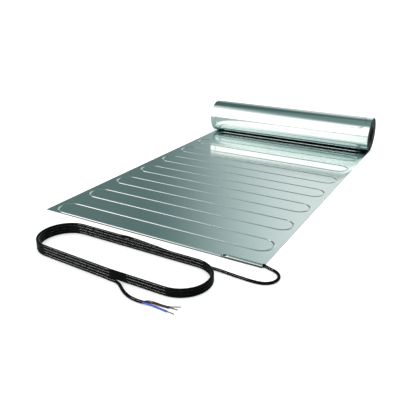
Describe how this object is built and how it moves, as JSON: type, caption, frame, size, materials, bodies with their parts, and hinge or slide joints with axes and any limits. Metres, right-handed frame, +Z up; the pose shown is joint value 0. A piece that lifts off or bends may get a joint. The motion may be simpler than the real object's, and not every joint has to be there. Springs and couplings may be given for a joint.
{
  "type": "underfloor heating mat",
  "caption": "Foil underfloor heating mat with a heating wire laid to and fro in it, partly rolled up, with a black supply lead in a flat hank and stripped cores at its end.",
  "frame": {"origin": "on the floor under the middle of the mat and its roll, without the supply lead", "axes": "+X across the mat to its right, +Y from the front edge to the roll, +Z up"},
  "size_m": [0.5408, 1.0148, 0.0982],
  "materials": {
    "foil": "bright, slightly crinkled aluminium foil",
    "black_jacket": "smooth black cable jacket with a soft gloss",
    "blue_insulation": "smooth blue wire insulation",
    "brown_insulation": "smooth brown wire insulation",
    "conductor": "bare tinned strands"
  },
  "bodies": {
    "root": {"foil_mat": "foil", "heating_wire": "foil", "lead_joint": "foil", "supply_lead": "black_jacket", "lead_hank": "black_jacket", "lead_tail": "black_jacket", "blue_core": "blue_insulation", "blue_conductor": "conductor", "brown_core": "brown_insulation", "brown_conductor": "conductor", "earth_conductor": "conductor"}
  },
  "joints": []
}
